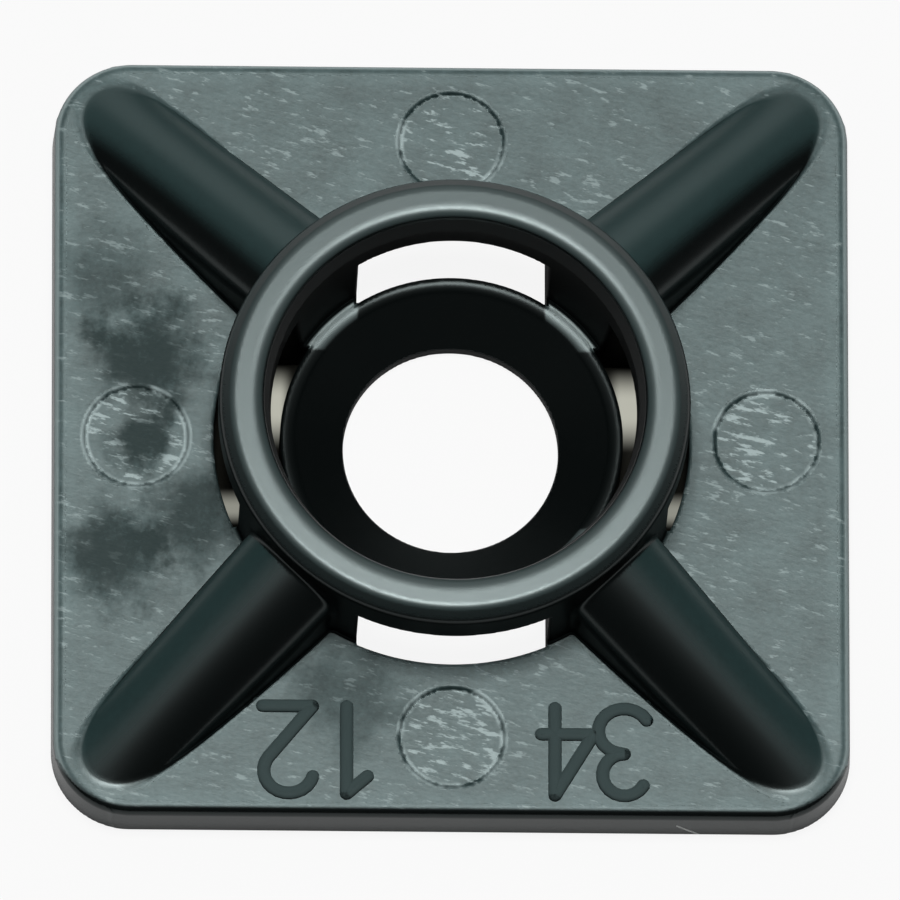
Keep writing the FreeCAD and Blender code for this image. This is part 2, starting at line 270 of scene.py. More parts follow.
def base_field(east, north, level, size):
    """The square base: drafted walls, rounded corners and a bevelled upper edge."""
    wall = outline_field(east, north, size) + level * size["wall_draft"]
    above = level - size["base_thickness"]
    bevel = (wall + above + size["base_edge_bevel"]) * DIAGONAL
    sharp = size["sharp_edge_radius"]
    topped = rounded_overlap(rounded_overlap(wall, bevel, sharp), above, sharp)
    return rounded_overlap(topped, -level, sharp)


def ring_field(radius, level, size):
    """The ring, turned from its section: outer wall, rolled crest, lip, funnel and bore."""
    lip_foot = (size["lip_foot_radius"], size["lip_foot_level"])
    funnel_foot = (size["funnel_foot_radius"], size["funnel_foot_level"])
    bore_foot = (size["ring_bore_radius"], size["ring_root_level"])
    wall = radius - size["ring_outer_radius"]
    above = level - size["ring_top"]
    bevel = (wall + above + size["ring_edge_bevel"]) * DIAGONAL
    sharp = size["sharp_edge_radius"]
    outside = rounded_overlap(rounded_overlap(wall, bevel, sharp), above, sharp)
    walls = outside.most(edge_field(radius, level, lip_foot, funnel_foot))
    past = radius - size["lip_centre_radius"]
    rise = level - size["ring_top"] + size["lip_radius"]
    lip = length(past, rise) - size["lip_radius"]
    up_funnel = past * (lip_foot[0] - funnel_foot[0]) + rise * (lip_foot[1] - funnel_foot[1])
    on_lip = (-past).above(0.0) * up_funnel.above(0.0)
    lipped = walls + on_lip * (lip - walls)
    past_roll = radius - size["roll_centre_radius"]
    above_roll = level - size["ring_top"] + size["roll_radius"]
    roll = length(past_roll.least(0.0), above_roll.most(0.0)) - size["roll_radius"]
    crest = roll + past_roll.most(0.0) * size["crest_fall"]
    crested = rounded_overlap(lipped, crest, size["sharp_edge_radius"])
    bored = crested.most(edge_field(radius, level, funnel_foot, bore_foot))
    return bored.most(size["ring_root_level"] - level)


def leg_field(along, across, level, size):
    """A leg: upright sides under a dome of a crown and two shoulders, falling to a corner."""
    places = (size["leg_root"], size["leg_nose"], size["leg_end"])
    widths = (size["leg_root_half_width"], size["leg_nose_half_width"], size["leg_end_half_width"])
    domes = (size["leg_dome"], size["leg_dome"], size["leg_end_dome"])
    half_width = through_sections(along, places, widths)
    dome = through_sections(along, places, domes)
    crest = size["base_thickness"] + size["leg_slope"] * (size["leg_tip"] - along)
    shoulder = (dome * dome / half_width).least(dome * size["shoulder_limit"])
    inset = half_width - shoulder
    crown = (inset * inset + dome * dome - shoulder * shoulder) / (2.0 * (dome - shoulder))
    height = level - crest + dome
    sink = crown - dome
    past = across - inset
    sides = length(past.most(0.0), height.most(0.0)) + past.most(height).least(0.0) - shoulder
    top = length(across, height + sink) - crown
    on_crown = ((height + sink) * inset).above(across * sink)
    section = sides + on_crown * (top - sides)
    ends = (along - size["leg_end"]).most(size["leg_root"] - along)
    return section.most(ends).most(size["leg_foot"] - level)


def opening_field(east, north, radius, level, size):
    """The passages for a tie, up through the base and under the ring."""
    band = (size["opening_inner_radius"] - radius).most(radius - size["opening_outer_radius"])
    walls = east.least(north) - size["opening_half_width"]
    return band.most(walls).most(level - size["opening_top"])


def screw_hole_field(radius, level, size):
    """The clearance hole and its countersink."""
    mouth = (size["countersink_radius"], size["base_thickness"])
    land = (size["hole_radius"], size["hole_land"])
    cone = -edge_field(radius, level, mouth, land)
    sunk = cone.most(level - size["base_thickness"] - CONE_OVERRUN)
    return (radius - size["hole_radius"]).least(sunk)


def pin_mark_field(east, north, level, size):
    """The shallow round marks of the ejector pins."""
    distance = length(east.most(north) - size["mark_distance"], east.least(north))
    floor = size["base_thickness"] - size["mark_depth"] - level
    return (distance - size["mark_radius"]).most(floor)


def mount_field(point, size):
    """Distance from a point to the surface of the moulding, negative inside."""
    parts = point.node("ShaderNodeSeparateXYZ", None, {0: point})
    east = abs(parts)
    north = abs(parts.other("Y"))
    level = parts.other("Z")
    radius = length(east, north)
    along = (east + north) * DIAGONAL
    across = abs(east - north) * DIAGONAL
    base = base_field(east, north, level, size)
    leg = leg_field(along, across, level, size)
    ring = ring_field(radius, level, size)
    solid = rounded_join(rounded_join(base, leg, size["leg_fillet"]), ring, size["ring_fillet"])
    cuts = (
        opening_field(east, north, radius, level, size),
        screw_hole_field(radius, level, size),
        pin_mark_field(east, north, level, size),
    )
    for cut in cuts:
        solid = rounded_overlap(solid, -cut, size["sharp_edge_radius"])
    return solid


def new_tree(name, inputs, outputs):
    """A geometry node tree with these inputs and outputs, and wires from its inputs by name."""
    tree = bpy.data.node_groups.new(name, "GeometryNodeTree")
    for kind, sockets in (("INPUT", inputs), ("OUTPUT", outputs)):
        for socket_name, socket_type in sockets.items():
            tree.interface.new_socket(socket_name, in_out=kind, socket_type=socket_type)
    group_input = tree.nodes.new("NodeGroupInput")
    wires = {socket_name: Wire(tree, group_input.outputs[socket_name]) for socket_name in inputs}
    return tree, wires


def finish_tree(tree, result):
    """Leads a wire to the output of a tree."""
    group_output = tree.nodes.new("NodeGroupOutput")
    tree.links.new(result.socket, group_output.inputs[0])


def field_tree(sizes):
    """The field of the moulding as a group, so that a tree can read it at several points."""
    inputs = {"Point": "NodeSocketVector"} | {name: "NodeSocketFloat" for name in sizes}
    tree, wires = new_tree("mount_field", inputs, {"Distance": "NodeSocketFloat"})
    finish_tree(tree, mount_field(wires["Point"], wires))
    return tree


def read_field(group, point, sizes):
    """Distance to the surface at a point, through the field group."""
    sockets = {name: sizes[name] for name in MOULDING} | {"Point": point}
    return point.node("GeometryNodeGroup", {"node_tree": group}, sockets)


def field_slope(group, point, sizes):
    """Distance and slope of the field at a point, read at four corners around it."""
    corners = ((1, -1, -1), (-1, -1, 1), (-1, 1, -1), (1, 1, 1))
    distance = 0.0
    slope = [0.0, 0.0, 0.0]
    for corner in corners:
        offset = tuple(PROBE * side for side in corner)
        near = point.node("ShaderNodeVectorMath", {"operation": "ADD"}, {0: point, 1: offset})
        reading = read_field(group, near, sizes)
        distance = reading / len(corners) + distance
        shares = [side / (len(corners) * PROBE) for side in corner]
        slope = [reading * share + part for share, part in zip(shares, slope)]
    steepness = (slope[0] * slope[0] + slope[1] * slope[1] + slope[2] * slope[2]).root()
    return distance, slope, steepness


def combine(*parts):
    """A vector from three parts, wires or plain numbers."""
    wire = next(part for part in parts if isinstance(part, Wire))
    return wire.node("ShaderNodeCombineXYZ", None, dict(enumerate(parts)))


def moved(surface, setting, value):
    """A surface with its points at a place, or moved by an offset."""
    return surface.node("GeometryNodeSetPosition", None, {"Geometry": surface, setting: value})


def pulled(surface, point, group, sizes):
    """A surface with its points moved onto the field."""
    for _ in range(PULLS_PER_ROUND):
        distance, slope, steepness = field_slope(group, point, sizes)
        pull = -distance / (steepness * steepness)
        surface = moved(surface, "Offset", combine(*(part * pull for part in slope)))
    return surface


def finish_moulded(tree, surface, material):
    """Ends a tree with real geometry in its material."""
    real = surface.node("GeometryNodeRealizeInstances", None, {"Geometry": surface})
    finish_tree(tree, real.node("GeometryNodeSetMaterial", None, {0: real, "Material": material}))


def sampling_tree(group):
    """A tree that samples the field in a block and draws an even surface through it."""
    inputs = {"Geometry": "NodeSocketGeometry"} | {name: "NodeSocketFloat" for name in MOULDING}
    inputs |= {"sample_spacing": "NodeSocketFloat", "Material": "NodeSocketMaterial"}
    tree, wires = new_tree("moulding_samples", inputs, {"Geometry": "NodeSocketGeometry"})
    start = Wire(tree)
    point = start.node("GeometryNodeInputPosition")
    side = wires["base_half"] + SAMPLE_MARGIN
    height = wires["ring_top"] + SAMPLE_MARGIN * 2.0
    block = start.node(
        "GeometryNodeVolumeCube",
        None,
        {
            "Density": -read_field(group, point, wires),
            "Background": -1.0,
            "Min": combine(-side, -side, -SAMPLE_MARGIN),
            "Max": combine(side, side, height - SAMPLE_MARGIN),
            "Resolution X": 2.0 * side / wires["sample_spacing"],
            "Resolution Y": 2.0 * side / wires["sample_spacing"],
            "Resolution Z": height / wires["sample_spacing"],
        },
    )
    surface = start.node(
        "GeometryNodeVolumeToMesh",
        {"resolution_mode": "GRID"},
        {"Volume": block, "Threshold": 0.0, "Adaptivity": 0.0},
    )
    for _ in range(EVENING_ROUNDS):
        evened = start.node(
            "GeometryNodeBlurAttribute",
            {"data_type": "FLOAT_VECTOR"},
            {"Value": point, "Iterations": 1},
        )
        surface = pulled(moved(surface, "Position", evened), point, group, wires)
    finish_moulded(tree, with_normals(surface, point, group, wires), wires["Material"])
    return tree


def smoothed(surface):
    """A surface that is shaded smooth."""
    sockets = {"Geometry": surface, "Shade Smooth": True}
    return surface.node("GeometryNodeSetShadeSmooth", None, sockets)


def with_normals(surface, point, group, sizes):
    """A smooth surface that keeps the normals of the field as an attribute."""
    slope = combine(*field_slope(group, point, sizes)[1])
    normal = surface.node("ShaderNodeVectorMath", {"operation": "NORMALIZE"}, {0: slope})
    kept = surface.node(
        "GeometryNodeStoreNamedAttribute",
        {"data_type": "FLOAT_VECTOR", "domain": "POINT"},
        {"Geometry": surface, "Name": FIELD_NORMAL, "Value": normal},
    )
    return smoothed(kept)


def fitting_tree(group):
    """A tree that pulls a thinned surface back to the field and turns millimetres to metres."""
    inputs = {"Geometry": "NodeSocketGeometry"} | {name: "NodeSocketFloat" for name in MOULDING}
    inputs |= {"Material": "NodeSocketMaterial"}
    tree, wires = new_tree("moulding_fit", inputs, {"Geometry": "NodeSocketGeometry"})
    point = Wire(tree).node("GeometryNodeInputPosition")
    surface = with_normals(pulled(wires["Geometry"], point, group, wires), point, group, wires)
    sockets = {"Geometry": surface, "Scale": (MM, MM, MM)}
    scaled = surface.node("GeometryNodeTransform", None, sockets)
    finish_moulded(tree, scaled, wires["Material"])
    return tree


def read_vectors(attribute, count):
    """The vectors of a mesh attribute as rows."""
    values = np.empty(count * 3, dtype=np.float32)
    attribute.data.foreach_get("vector", values)
    return values.reshape(-1, 3)


def thin_between_edges(piece):
    """Thins out a piece, which is all quads, where it is flat or gently curved."""
    mesh = piece.data
    normals = read_vectors(mesh.attributes[FIELD_NORMAL], len(mesh.vertices))
    edges = np.empty(len(mesh.edges) * 2, dtype=np.int32)
    mesh.edges.foreach_get("vertices", edges)
    edges = edges.reshape(-1, 2)
    agreement = (normals[edges[:, 0]] * normals[edges[:, 1]]).sum(axis=1)
    gentle = np.ones(len(normals), dtype=bool)
    gentle[edges[agreement < GENTLE_AGREEMENT].ravel()] = False
    for _ in range(KEPT_RINGS):
        rim = edges[~(gentle[edges[:, 0]] & gentle[edges[:, 1]])]
        gentle[rim.ravel()] = False
    group = piece.vertex_groups.new(name="gentle")
    group.add(np.flatnonzero(gentle).tolist(), 1.0, "REPLACE")
    thinning = piece.modifiers.new("thinning", "DECIMATE")
    thinning.vertex_group = group.name
    thinning.ratio = TRIANGLES_KEPT / (2.0 * len(mesh.polygons))
    evaluated = piece.evaluated_get(bpy.context.evaluated_depsgraph_get())
    thinned = bpy.data.meshes.new_from_object(evaluated)
    bpy.data.objects.remove(piece)
    return thinned


def make_moulding(material):
    """The mount itself: its field sampled, thinned between the edges and fitted again."""
    group = field_tree(MOULDING)
    inputs = MOULDING | {"Material": material}
    sampling = inputs | {"sample_spacing": SAMPLE_SPACING}
    thinned = thin_between_edges(run_tree("samples", sampling_tree(group), sampling))
    piece = run_tree("mount_moulding", fitting_tree(group), inputs, thinned)
    mesh = piece.data
    normals = read_vectors(mesh.attributes[FIELD_NORMAL], len(mesh.vertices))
    mesh.normals_split_custom_set_from_vertices(normals)
    mesh.attributes.remove(mesh.attributes[FIELD_NORMAL])
    return piece


def run_tree(name, tree, values, source=None):
    """Runs a geometry tree once and returns its result as an object with a plain mesh."""
    carrier = bpy.data.objects.new(name, source or bpy.data.meshes.new(name))
    bpy.context.scene.collection.objects.link(carrier)
    modifier = carrier.modifiers.new(name, "NODES")
    modifier.node_group = tree
    for item in tree.interface.items_tree:
        if item.in_out == "INPUT" and item.name in values:
            modifier[item.identifier] = values[item.name]
    evaluated = carrier.evaluated_get(bpy.context.evaluated_depsgraph_get())
    mesh = bpy.data.meshes.new_from_object(evaluated)
    carrier.modifiers.remove(modifier)
    bpy.data.objects.remove(carrier)
    mesh.name = name
    piece = bpy.data.objects.new(name, mesh)
    bpy.context.scene.collection.objects.link(piece)
    return piece


# The raised strokes of the cavity numbers: plain digits that read from the other side of the base.
# Each digit's place is the middle of its cell.
DIGIT_WIDTH = 1.3
DIGIT_HEIGHT = 2.3
DIGIT_PLACES = {"1": (-2.5, -8.27), "2": (-4.08, -8.27), "3": (4.26, -8.27), "4": (2.89, -8.27)}
STROKE_HALF_WIDTH = 0.17
STROKE_HEIGHT = 0.11
SHARP_ANGLE = math.radians(50.0)
ARC_STEPS = 14
ROUND_STEPS = 16


def arc(centre, radii, start, end):
    """Points along an arc between two angles in degrees."""
    points = []
    for step in range(ARC_STEPS + 1):
        angle = math.radians(start + (end - start) * step / ARC_STEPS)
        across = centre[0] + radii[0] * math.cos(angle)
        points.append((across, centre[1] + radii[1] * math.sin(angle)))
    return points


def digit_paths():
    """The strokes of each digit in a cell of one by one, from its lower left corner."""
    return {
        "1": [[(0.2, 0.8), (0.6, 1.0)], [(0.6, 1.0), (0.6, 0.0)]],
        "2": [arc((0.5, 0.74), (0.48, 0.26), 165, -35) + [(0.04, 0.0)], [(0.04, 0.0), (1.0, 0.0)]],
        "3": [arc((0.46, 0.76), (0.42, 0.24), 150, -90), arc((0.46, 0.26), (0.5, 0.26), 90, -150)],
        "4": [[(0.74, 0.0), (0.74, 1.0)], [(0.74, 1.0), (0.0, 0.3)], [(0.0, 0.3), (1.0, 0.3)]],
    }


def number_curve():
    """The middle lines of all the strokes, turned and laid out on the base."""
    curve = bpy.data.curves.new("number_lines", "CURVE")
    curve.dimensions = "3D"
    for digit, paths in digit_paths().items():
        place = DIGIT_PLACES[digit]
        for path in paths:
            spline = curve.splines.new("POLY")
            spline.points.add(len(path) - 1)
            for point, (across, up) in zip(spline.points, path):
                east = place[0] - (across - 0.5) * DIGIT_WIDTH
                north = place[1] - (up - 0.5) * DIGIT_HEIGHT
                point.co = (east, north, 0.0, 1.0)
    return curve


def stroke_tree():
    """A tree that raises a rounded ridge with round ends along each path."""
    inputs = {
        "Geometry": "NodeSocketGeometry",
        "half_width": "NodeSocketFloat",
        "height": "NodeSocketFloat",
        "level": "NodeSocketFloat",
        "Material": "NodeSocketMaterial",
    }
    tree, wires = new_tree("raised_strokes", inputs, {"Geometry": "NodeSocketGeometry"})
    start = Wire(tree)
    profile = start.node(
        "GeometryNodeCurvePrimitiveCircle",
        None,
        {"Resolution": ROUND_STEPS, "Radius": wires["half_width"]},
    )
    ridge = start.node(
        "GeometryNodeCurveToMesh",
        None,
        {"Curve": wires["Geometry"], "Profile Curve": profile, "Fill Caps": True},
    )
    cap = start.node(
        "GeometryNodeMeshUVSphere",
        None,
        {"Segments": ROUND_STEPS, "Rings": ROUND_STEPS // 2, "Radius": wires["half_width"]},
    )
    caps = start.node(
        "GeometryNodeInstanceOnPoints",
        None,
        {
            "Points": wires["Geometry"],
            "Selection": start.node("GeometryNodeCurveEndpointSelection"),
            "Instance": cap,
        },
    )
    joined = start.node("GeometryNodeJoinGeometry")
    for part in (ridge, caps):
        tree.links.new(part.socket, joined.socket.node.inputs["Geometry"])
    flat = combine(1.0, 1.0, wires["height"] / wires["half_width"])
    lowered = start.node("GeometryNodeTransform", None, {"Geometry": joined, "Scale": flat})
    lifted = start.node(
        "GeometryNodeTransform",
        None,
        {
            "Geometry": lowered,
            "Translation": combine(0.0, 0.0, wires["level"] * MM),
            "Scale": (MM, MM, MM),
        },
    )
    finish_moulded(tree, smoothed(lifted), wires["Material"])
    return tree


# Colours of the nylon: in the deep, painted light on the legs and on the ring's crest, and on the
# numbers, then those of the base's skin and its dashes, painted glints along the streaky grain, of
# the nick and of the gloss.
DEEP = (0.0015, 0.0022, 0.0022, 1.0)
PAINTED_LIGHT_ON_LEGS = (0.011, 0.024, 0.024, 1.0)
PAINTED_LIGHT_ON_CREST = (0.022, 0.032, 0.032, 1.0)
ON_NUMBERS = (0.02, 0.033, 0.033, 1.0)
SKIN_DARK = (0.004, 0.012, 0.012, 1.0)
SKIN_PALE = (0.045, 0.072, 0.073, 1.0)
DASH = (0.21, 0.26, 0.26, 1.0)
PALE_NICK = (0.6, 0.62, 0.6, 1.0)
SPECULAR_TINT = (0.86, 1.0, 0.99, 1.0)
# Where a finish starts and where it is full: in millimetres above the base, from the middle or
# from an outline, as the part of a facing that points up or south, or as a pattern's value.
RAMPS = {
    "base_foot": (-0.22, -0.16),
    "base_top": (0.06, 0.02),
    "not_southward": (0.45, 0.15),
    "outside_ring": (5.86, 5.96),
    "painted_border_sheen": (0.75, 0.45),
    "painted_edge_sheen": (0.32, 0.22),
    "edge_facing": (0.95, 0.8),
    "in_mark": (0.0, -0.15),
    "around_mark": (0.2, 0.1),
    "mark_outline": (0.14, 0.06),
    "pale_mark_outline": (0.42, 0.58),
    "crest_level": (4.1, 4.35),
    "crest_facing": (0.6, 0.85),
    "raised": (0.01, 0.05),
    "leg_root": (5.7, 6.0),
    "leg_light_facing": (0.6, 1.0),
    "rim_inner": (3.85, 3.95),
    "rim_outer": (4.5, 4.4),
    "rim_foot": (-0.3, -0.2),
    "rim_top": (0.2, 0.1),
    "beside_opening": (2.3, 2.4),
    "land_facing": (0.86, 0.97),
    "steep": (0.55, 0.25),
    "behind_wall": (0.06, 0.2),
    "dash": (0.60, 0.72),
    "dark_patch": (1.15, 0.25),
    "nick": (0.075, 0.025),
}
# The legs' painted light, a paler colour where they face up and north, fades towards the south by
# this share of that facing.
LEG_LIGHT_SOUTH_LOSS = 0.9
# Random patterns of the skin: scale, detail and roughness. Streaks and grain are drawn out.
STREAK = (1.0, 3.0, 0.55)
GRAIN = (3.0, 2.0, 0.6)
CLUSTERS = (0.45, 2.0, 0.5)
SPECKLE = (7.0, 2.0, 0.7)
MOTTLE = (0.8, 4.0, 0.6)
RAGGED = (0.9, 4.0, 0.65)
RAGGED_REACH = 1.7
STREAK_SLANT = math.radians(15.0)
STREAK_SIZE = (0.5, 0.15, 1.0)
# What each pattern adds to the field of the dashes, the painted glints of the grain, and how
# strong the dashes are.
DASH_CLUSTERS = 0.25
DASH_GRAIN = 0.3
DASH_IN_MARK = 0.05
DASH_SHARE = 0.5
DASH_SHARE_IN_MARK = 0.4
DASH_LOST_IN_DARK_PATCH = 0.95
# The share of the pale dash colour on the mark outlines and, as painted sheen, on the bevel of the
# base's edge.
SHEEN_AND_OUTLINE_SHARE = 0.8
# What each pattern adds to the shade of the skin, and the share of the legs' painted light.
SHADE_MIDDLE = 0.5
SHADE_MOTTLE = 1.5
SHADE_GRAIN = 0.5
SHADE_SPECKLE = 0.9
# Painted sheen: the skin is paler near the base's outline.
PAINTED_BORDER_SHEEN = 0.25
SHADE_DARK_PATCH = 0.6
LEG_LIGHT_SHARE = 0.7
LEG_SPECKLE = 0.6
# Roughness of the smooth nylon and of the skin, and what each place or pattern adds to them.
SMOOTH_ROUGHNESS = 0.24
CREST_ROUGHNESS = 0.12
LAND_ROUGHNESS = 0.14
LEG_ROUGHNESS = 0.08
NUMBERS_ROUGHNESS = 0.6
SKIN_ROUGHNESS = 0.5
DARK_PATCH_ROUGHNESS = 0.3
GRAIN_ROUGHNESS = 0.15
NYLON_IOR = 1.53
# Painted shade: a darker, rougher copy of the nylon that barely reflects, on steep faces and on
# the rim at the openings, and its share there.
SHADED_COPY_ROUGHNESS = 0.5
SHADED_COPY_IOR = 1.1
STEEP_SHARE = 0.9
OPEN_RIM_SHARE = 0.85
# Relief of the skin in metres, and what streaks and speckles add to it.
RELIEF_STRENGTH = 0.6
RELIEF_HEIGHT = 0.00002
RELIEF_STREAK = 0.4
RELIEF_SPECKLE = 0.3
# The strip of the base that holds the numbers: where it starts in the south, and half its width.
NUMBERS_FROM = 6.9
NUMBERS_REACH = 4.97
# A pale nick that slants down over the south wall: its middle east, its level, how far it goes to
# either side, and how deep the wall's skin is.
NICK_MIDDLE = 5.93
NICK_LEVEL = 0.35
NICK_REACH = 0.3
WALL_SKIN = 0.2
# Darker, rougher patches on the west of the base: their middles east and north, their radii and
# their strengths.
DARK_PATCHES = (
    (-7.5, 2.3, 1.7, 1.0),
    (-8.6, 4.2, 1.6, 0.5),
    (-8.4, -3.2, 1.6, 0.9),
    (-6.6, -2.2, 1.5, 0.8),
    (-2.6, -6.8, 1.6, 0.5),
    (-7.85, -0.1, 0.95, 1.3),
)


def smooth_step(value, low, high):
    """Rises smoothly from nothing at low to one at high."""
    sockets = {"Value": value, "From Min": low, "From Max": high}
    return value.node("ShaderNodeMapRange", {"interpolation_type": "SMOOTHSTEP"}, sockets)


def mix_colour(factor, first, second):
    """A colour between two, by a factor."""
    return factor.node("ShaderNodeMix", {"data_type": "RGBA"}, {0: factor, 6: first, 7: second}, 2)


def noise(vector, look):
    """A soft random pattern about one half, from its scale, detail and roughness."""
    scale, detail, roughness = look
    sockets = {"Vector": vector, "Scale": scale, "Detail": detail, "Roughness": roughness}
    return vector.node("ShaderNodeTexNoise", None, sockets)


def centred(pattern):
    """A random pattern moved down by a half, to either side of nothing."""
    return pattern - 0.5


def ramp(value, name):
    """How far a value is along a named ramp, from nothing to one."""
    return smooth_step(value, *RAMPS[name])


def read_surface(start):
    """Where a point of the surface lies, in millimetres, and how it faces."""
    metres = start.node("ShaderNodeTexCoord").other("Object")
    scaling = {0: metres, "Scale": 1.0 / MM}
    place = start.node("ShaderNodeVectorMath", {"operation": "SCALE"}, scaling)
    east = start.node("ShaderNodeSeparateXYZ", None, {0: place})
    north = east.other("Y")
    level = east.other("Z")
    wide = abs(east).most(abs(north))
    narrow = abs(east).least(abs(north))
    normal = start.node("ShaderNodeNewGeometry").other("Normal")
    facing = start.node("ShaderNodeSeparateXYZ", None, {0: normal})
    return SimpleNamespace(
        place=place,
        east=east,
        north=north,
        level=level,
        above_base=level - MOULDING["base_thickness"],
        radius=length(east, north),
        narrow=narrow,
        past_mark=length(wide - MOULDING["mark_distance"], narrow) - MOULDING["mark_radius"],
        inside=-outline_field(abs(east), abs(north), MOULDING),
        southward=-facing.other("Y"),
        upward=facing.other("Z"),
    )


def finish_masks(at):
    """Where each finish of the nylon lies, and its painted light and shade, from nothing to one.
    """
    off_mark = 1.0 - ramp(at.past_mark, "around_mark")
    # Painted shade: base faces that point south, away from the pin marks, are left out of the pale
    # skin and keep the dark nylon.
    base = (
        ramp(at.above_base, "base_foot")
        * ramp(at.above_base, "base_top")
        * ramp(at.southward * off_mark, "not_southward")
        * ramp(at.radius, "outside_ring")
    )
    raised = ramp(at.above_base, "raised")
    # Painted light: the legs take a paler colour where they face up and north, and keep the dark
    # nylon where they face south.
    leg_light_facing = at.upward - at.southward * LEG_LIGHT_SOUTH_LOSS
    in_strip = (-at.north).above(NUMBERS_FROM) * (1.0 - abs(at.east).above(NUMBERS_REACH))
    rim = (
        ramp(at.radius, "rim_inner")
        * ramp(at.radius, "rim_outer")
        * ramp(at.above_base, "rim_foot")
        * ramp(at.above_base, "rim_top")
    )
    corner_rim = rim * ramp(at.narrow, "beside_opening")
    steep = ramp(at.upward, "steep") * ramp(at.inside, "behind_wall") * (1.0 - base)
    return SimpleNamespace(
        base=base,
        mark=ramp(at.past_mark, "in_mark"),
        # The up-facing crest, and below it the land, carry painted light as well as their own
        # roughness.
        crest=ramp(at.level, "crest_level") * ramp(at.upward, "crest_facing"),
        leg=ramp(at.radius, "leg_root") * raised * ramp(leg_light_facing, "leg_light_facing"),
        numbers=raised * in_strip,
        land=corner_rim * ramp(at.upward, "land_facing"),
        # Painted shade on steep faces and on the rim at the openings.
        shaded_copy=(steep * STEEP_SHARE).most((rim - corner_rim) * OPEN_RIM_SHARE),
    )


def dark_patch_pattern(at):
    """Where the skin of the base is darker and rougher: a few soft patches with ragged edges."""
    ragged = centred(noise(at.place, RAGGED)) * RAGGED_REACH
    total = 0.0
    for middle_east, middle_north, reach, strength in DARK_PATCHES:
        distance = length(at.east - middle_east, at.north - middle_north) / reach + ragged
        total = ramp(distance, "dark_patch") * strength + total
    return total.least(1.0)


def skin_patterns(at):
    """The random patterns of the base's skin."""
    slanted = at.place.node(
        "ShaderNodeMapping",
        {"vector_type": "TEXTURE"},
        {"Vector": at.place, "Rotation": (0.0, 0.0, -STREAK_SLANT), "Scale": STREAK_SIZE},
    )
    return SimpleNamespace(
        streak=noise(slanted, STREAK),
        grain=noise(slanted, GRAIN),
        clusters=noise(at.place, CLUSTERS),
        speckle=noise(at.place, SPECKLE),
        mottle=noise(at.place, MOTTLE),
        dark_patch=dark_patch_pattern(at),
    )


def skin_colour(at, masks, pattern):
    """The pale skin of the base, with painted glints in its dashes, darker patches and painted
    sheen by its edge.
    """
    # The dashes are painted glints: pale flecks along the streaky grain, standing for tiny facets
    # that catch the light.
    glint_field = (
        pattern.streak
        + centred(pattern.clusters) * DASH_CLUSTERS
        + centred(pattern.grain) * DASH_GRAIN
        + masks.mark * DASH_IN_MARK
    )
    dash = ramp(glint_field, "dash") * (DASH_SHARE + masks.mark * DASH_SHARE_IN_MARK)
    shade = (
        SHADE_MIDDLE
        + centred(pattern.mottle) * SHADE_MOTTLE
        + centred(pattern.grain) * SHADE_GRAIN
        + centred(pattern.speckle) * SHADE_SPECKLE
        + ramp(at.inside, "painted_border_sheen") * PAINTED_BORDER_SHEEN
        - pattern.dark_patch * SHADE_DARK_PATCH
    )
    # The outlines of the pin marks are pale in patches, following the mottle.
    pale_mark_outline = ramp(abs(at.past_mark), "mark_outline") * ramp(pattern.mottle, "pale_mark_outline")
    # Painted sheen: the bevel along the base's edge takes the pale dash colour.
    painted_edge_sheen = ramp(at.inside, "painted_edge_sheen") * ramp(at.upward, "edge_facing")
    skin = mix_colour(shade.most(0.0).least(1.0), SKIN_DARK, SKIN_PALE)
    skin = mix_colour(dash * (1.0 - pattern.dark_patch * DASH_LOST_IN_DARK_PATCH), skin, DASH)
    skin = mix_colour(pale_mark_outline * SHEEN_AND_OUTLINE_SHARE, skin, DASH)
    return mix_colour(painted_edge_sheen * SHEEN_AND_OUTLINE_SHARE, skin, DASH)


def nick_mask(at):
    """Where the pale nick lies."""
    line = ramp(abs(at.east - NICK_MIDDLE + at.level - NICK_LEVEL), "nick")
    within = 1.0 - abs(at.east - NICK_MIDDLE).above(NICK_REACH)
    return line * within * (-at.north).above(MOULDING["base_half"] - WALL_SKIN)


def nylon_colour(at, masks, pattern):
    """The colour of the nylon all over the mount."""
    # Painted light on the legs' upper and northern sides.
    body = mix_colour(masks.leg * (LEG_LIGHT_SHARE + pattern.speckle * LEG_SPECKLE), DEEP, PAINTED_LIGHT_ON_LEGS)
    # Painted light: the up-facing crest of the ring and the land of the countersink rim between
    # the openings are paler, standing for their sheen.
    body = mix_colour(masks.crest.most(masks.land), body, PAINTED_LIGHT_ON_CREST)
    body = mix_colour(masks.numbers, body, ON_NUMBERS)
    colour = mix_colour(masks.base, body, skin_colour(at, masks, pattern))
    return mix_colour(nick_mask(at), colour, PALE_NICK)


def nylon_roughness(masks, pattern):
    """The roughness of the nylon all over the mount."""
    grain = centred(pattern.grain) * GRAIN_ROUGHNESS
    skin = SKIN_ROUGHNESS + pattern.dark_patch * DARK_PATCH_ROUGHNESS + grain
    body = (
        SMOOTH_ROUGHNESS
        + masks.crest * (CREST_ROUGHNESS + grain)
        + masks.land * LAND_ROUGHNESS
        + masks.leg * LEG_ROUGHNESS
        + masks.numbers * NUMBERS_ROUGHNESS
    )
    return body + masks.base * (skin - body)


